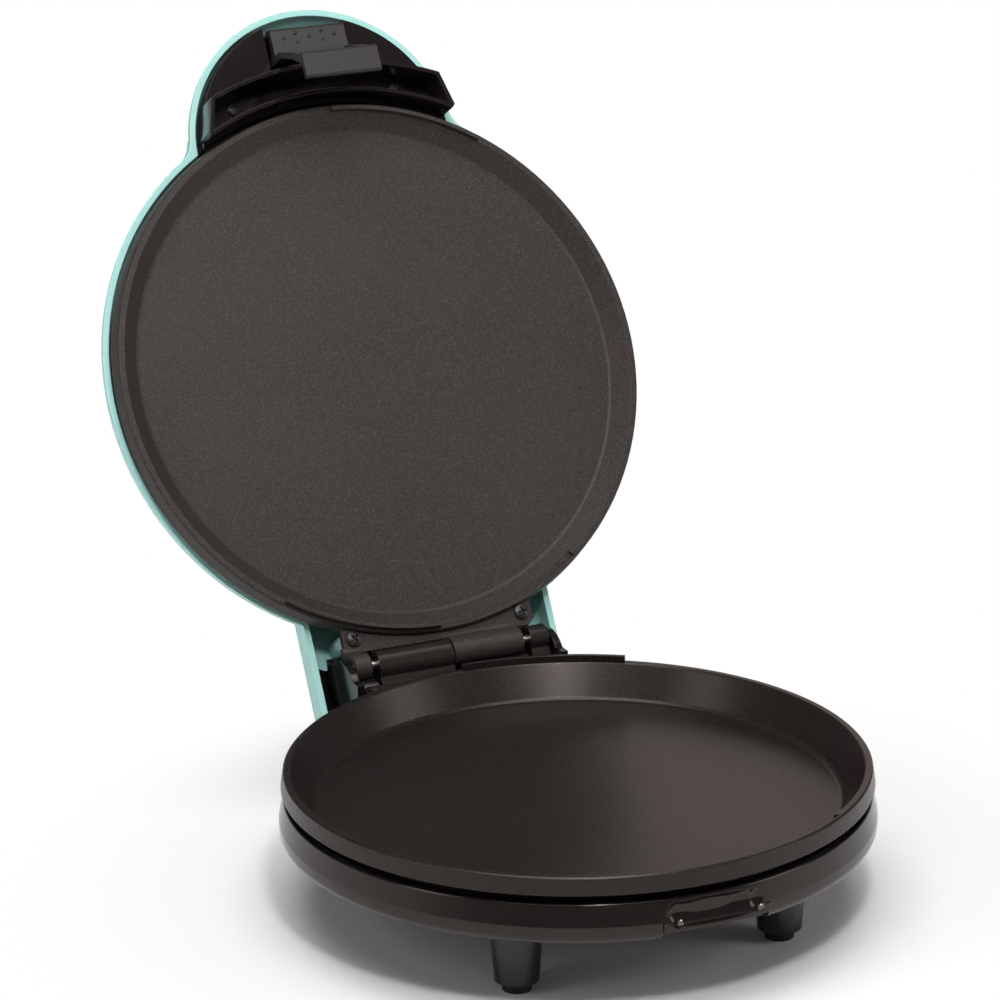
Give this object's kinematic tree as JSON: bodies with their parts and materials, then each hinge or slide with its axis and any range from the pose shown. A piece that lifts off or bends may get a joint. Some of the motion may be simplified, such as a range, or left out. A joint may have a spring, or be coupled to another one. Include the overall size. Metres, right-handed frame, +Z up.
{
  "type": "quesadilla maker",
  "caption": "Round countertop cooker with two shallow hinged plates, a lobed lid handle with a swing latch, and four short legs.",
  "frame": {"origin": "on the table top, under the middle of the open cooker's bounding box; the lower plate's centre is 81.6 mm in front of it", "axes": "+Z up, +Y towards the hinge, +X along the hinge axis to the right as seen from the latch side; the lid stands open"},
  "size_m": [0.226, 0.3899, 0.2906],
  "materials": {
    "housing_gloss": "glossy black moulding",
    "cover_black": "black moulding",
    "leg_black": "black moulding",
    "foot_rubber": "matt",
    "plate_cast": "dark non-stick coating on cast aluminium",
    "plate_cast_upper": "dark non-stick coating on cast aluminium",
    "element_steel": "heat-tinted sheath",
    "ceramic_beads": "unglazed",
    "pan_steel": "bright",
    "control_steel": "plain",
    "block_plastic": "ivory moulding",
    "gland_rubber": "matt black",
    "wire_sleeve": "heat-proof sleeve",
    "screw_steel": "zinc plated",
    "screw_dark": "dark plated",
    "pin_steel": "ground",
    "shell_aqua": "glossy aqua moulding",
    "insert_gloss": "glossy black moulding",
    "lens_red": "translucent red",
    "lens_green": "translucent green",
    "holder_plastic": "grey moulding",
    "latch_matte": "matt warm-grey moulding"
  },
  "bodies": {
    "base": {"base_housing": "housing_gloss", "bottom_cover": "cover_black", "legs": "leg_black", "foot_pads": "foot_rubber", "lower_plate": "plate_cast", "lower_element": "element_steel", "lower_terminals": "ceramic_beads", "lower_reflector": "pan_steel", "thermostat": "control_steel", "thermal_fuse": "control_steel", "terminal_block": "block_plastic", "cord_gland": "gland_rubber", "base_wiring": "wire_sleeve", "cover_screws": "screw_steel", "hinge_pin": "pin_steel", "base_hinge_screws": "screw_dark"},
    "lid": {"lid_shell": "shell_aqua", "handle_insert": "insert_gloss", "upper_plate": "plate_cast_upper", "upper_element": "element_steel", "upper_terminals": "ceramic_beads", "upper_reflector": "pan_steel", "lid_hinge_screws": "screw_dark", "insert_screws": "screw_dark", "power_lens": "lens_red", "ready_lens": "lens_green", "lamp_holder": "holder_plastic", "lid_wiring": "wire_sleeve", "latch_pin": "pin_steel"},
    "latch": {"latch": "latch_matte"}
  },
  "joints": [
    {"name": "lid_hinge", "type": "hinge", "parent": "base", "child": "lid", "pos_m": [0, 0.0384, 0.06], "axis": [1, 0, 0], "range_deg": [0, 121.3]},
    {"name": "latch_pivot", "type": "hinge", "parent": "lid", "child": "latch", "pos_m": [0, 0.18159, 0.26601], "axis": [1, 0, 0], "range_deg": [-8, 4.8]}
  ]
}
